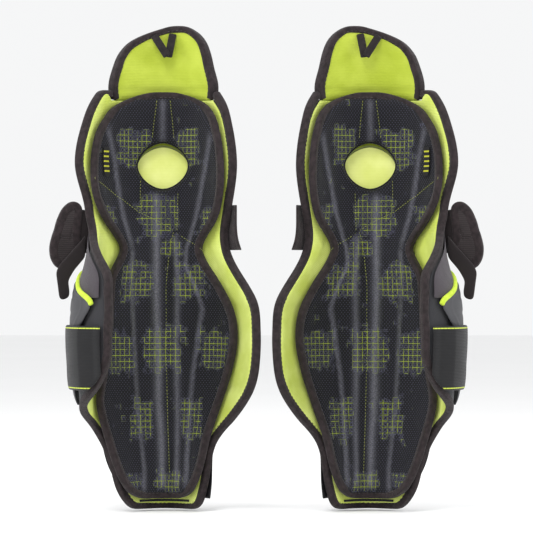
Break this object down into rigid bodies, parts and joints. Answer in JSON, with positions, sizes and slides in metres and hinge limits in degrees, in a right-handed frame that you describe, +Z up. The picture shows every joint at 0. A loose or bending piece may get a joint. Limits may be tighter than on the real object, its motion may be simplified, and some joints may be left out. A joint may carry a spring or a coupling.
{
  "type": "hockey shin guards",
  "caption": "Pair of ice hockey shin guards with moulded shells, foam calf wraps, thigh flaps, straps and removable knee-hole liners.",
  "frame": {"origin": "midway between the two guards, at the level of their hems", "axes": "+Z up along the shins, +Y forward out of the shells, +X towards the wearer's right"},
  "size_m": [0.4796, 0.161, 0.538],
  "materials": {
    "lime_foam": "brushed mesh fabric over foam",
    "lime_piping": "woven",
    "liner_mesh": "printed perforated mesh",
    "binding_tape": "woven tape",
    "grey_fabric": "woven",
    "hook_fabric": "hook and loop pile",
    "webbing": "woven",
    "elastic": "ribbed elastic",
    "label": "printed label",
    "black_plastic": "moulded, fine grain",
    "grey_plastic": "moulded, fine grain",
    "rivet_steel": "brushed"
  },
  "bodies": {
    "right_guard": {"right_wrap_pad": "lime_foam", "right_wrap_binding": "binding_tape", "right_knee_cup_lining": "lime_foam", "right_hook_patch_brow": "hook_fabric", "right_hook_patch_calf": "hook_fabric", "right_hook_patch_ankle": "hook_fabric", "right_shin_shell": "black_plastic", "right_knee_shell_web": "webbing", "right_medial_tab": "binding_tape", "right_gusset": "grey_fabric", "right_calf_plate": "grey_plastic", "right_calf_piping": "lime_piping", "right_calf_strap_loop_patch": "hook_fabric", "right_calf_strap_anchor": "webbing"},
    "right_liner": {"right_liner_knee_panel": "liner_mesh", "right_liner_shin_panel": "liner_mesh", "right_liner_binding": "binding_tape", "right_liner_side_tag": "label"},
    "right_flap": {"right_thigh_flap": "lime_foam", "right_thigh_flap_binding": "binding_tape", "right_thigh_flap_plate": "grey_plastic"},
    "right_pull": {"right_pull_loop": "webbing"},
    "right_knee_cap": {"right_knee_shell": "black_plastic", "right_knee_rivet_medial": "rivet_steel", "right_knee_rivet_lateral": "rivet_steel"},
    "right_calf_strap": {"right_calf_strap": "elastic", "right_calf_strap_hook_tab": "hook_fabric"},
    "right_knee_strap": {"right_knee_strap_pad": "elastic", "right_knee_strap_binding": "binding_tape", "right_knee_strap_fold": "webbing"},
    "left_guard": {"left_wrap_pad": "lime_foam", "left_wrap_binding": "binding_tape", "left_knee_cup_lining": "lime_foam", "left_hook_patch_brow": "hook_fabric", "left_hook_patch_calf": "hook_fabric", "left_hook_patch_ankle": "hook_fabric", "left_shin_shell": "black_plastic", "left_knee_shell_web": "webbing", "left_medial_tab": "binding_tape", "left_gusset": "grey_fabric", "left_calf_plate": "grey_plastic", "left_calf_piping": "lime_piping", "left_calf_strap_loop_patch": "hook_fabric", "left_calf_strap_anchor": "webbing"},
    "left_liner": {"left_liner_knee_panel": "liner_mesh", "left_liner_shin_panel": "liner_mesh", "left_liner_binding": "binding_tape", "left_liner_side_tag": "label"},
    "left_flap": {"left_thigh_flap": "lime_foam", "left_thigh_flap_binding": "binding_tape", "left_thigh_flap_plate": "grey_plastic"},
    "left_pull": {"left_pull_loop": "webbing"},
    "left_knee_cap": {"left_knee_shell": "black_plastic", "left_knee_rivet_medial": "rivet_steel", "left_knee_rivet_lateral": "rivet_steel"},
    "left_calf_strap": {"left_calf_strap": "elastic", "left_calf_strap_hook_tab": "hook_fabric"},
    "left_knee_strap": {"left_knee_strap_pad": "elastic", "left_knee_strap_binding": "binding_tape", "left_knee_strap_fold": "webbing"}
  },
  "joints": [
    {"name": "right_thigh_flap_bend", "type": "hinge", "parent": "right_guard", "child": "right_flap", "pos_m": [0.112, 0.06297, 0.455], "axis": [-1, 0, 0], "range_deg": [0, 60], "stiffness_Nm_per_rad": 0.3},
    {"name": "left_thigh_flap_bend", "type": "hinge", "parent": "left_guard", "child": "left_flap", "pos_m": [-0.112, 0.06297, 0.455], "axis": [-1, 0, 0], "range_deg": [0, 60], "stiffness_Nm_per_rad": 0.3},
    {"name": "right_pull_loop_swing", "type": "hinge", "parent": "right_flap", "child": "right_pull", "pos_m": [0.112, 0.03877, 0.5255], "axis": [-1, 0, 0], "range_deg": [0, 110]},
    {"name": "left_pull_loop_swing", "type": "hinge", "parent": "left_flap", "child": "left_pull", "pos_m": [-0.112, 0.03877, 0.5255], "axis": [-1, 0, 0], "range_deg": [0, 110]},
    {"name": "right_knee_cap_float", "type": "hinge", "parent": "right_guard", "child": "right_knee_cap", "pos_m": [0.112, 0.06987, 0.32], "axis": [-1, 0, 0], "range_deg": [0, 8], "stiffness_Nm_per_rad": 0.5},
    {"name": "left_knee_cap_float", "type": "hinge", "parent": "left_guard", "child": "left_knee_cap", "pos_m": [-0.112, 0.06987, 0.32], "axis": [-1, 0, 0], "range_deg": [0, 8], "stiffness_Nm_per_rad": 0.5},
    {"name": "right_liner_lift_out", "type": "slide", "parent": "right_guard", "child": "right_liner", "axis": [-0.29, -0.957, 0], "range_m": [0, 0.1]},
    {"name": "left_liner_lift_out", "type": "slide", "parent": "left_guard", "child": "left_liner", "axis": [0.29, -0.957, 0], "range_m": [0, 0.1]},
    {"name": "right_calf_strap_open", "type": "hinge", "parent": "right_guard", "child": "right_calf_strap", "pos_m": [0.1867, -0.07363, 0.171], "axis": [0, 0, -1], "range_deg": [0, 100]},
    {"name": "left_calf_strap_open", "type": "hinge", "parent": "left_guard", "child": "left_calf_strap", "pos_m": [-0.1867, -0.07363, 0.171], "axis": [0, 0, 1], "range_deg": [0, 100]},
    {"name": "right_knee_strap_fold", "type": "hinge", "parent": "right_guard", "child": "right_knee_strap", "pos_m": [0.204, 0.00477, 0.29], "axis": [0, 0, -1], "range_deg": [-40, 15], "stiffness_Nm_per_rad": 0.2},
    {"name": "left_knee_strap_fold", "type": "hinge", "parent": "left_guard", "child": "left_knee_strap", "pos_m": [-0.204, 0.00477, 0.29], "axis": [0, 0, 1], "range_deg": [-40, 15], "stiffness_Nm_per_rad": 0.2},
    {"name": "left_guard_apart", "type": "slide", "parent": "right_guard", "child": "left_guard", "axis": [-1, 0, 0], "range_m": [0, 0.3]}
  ]
}
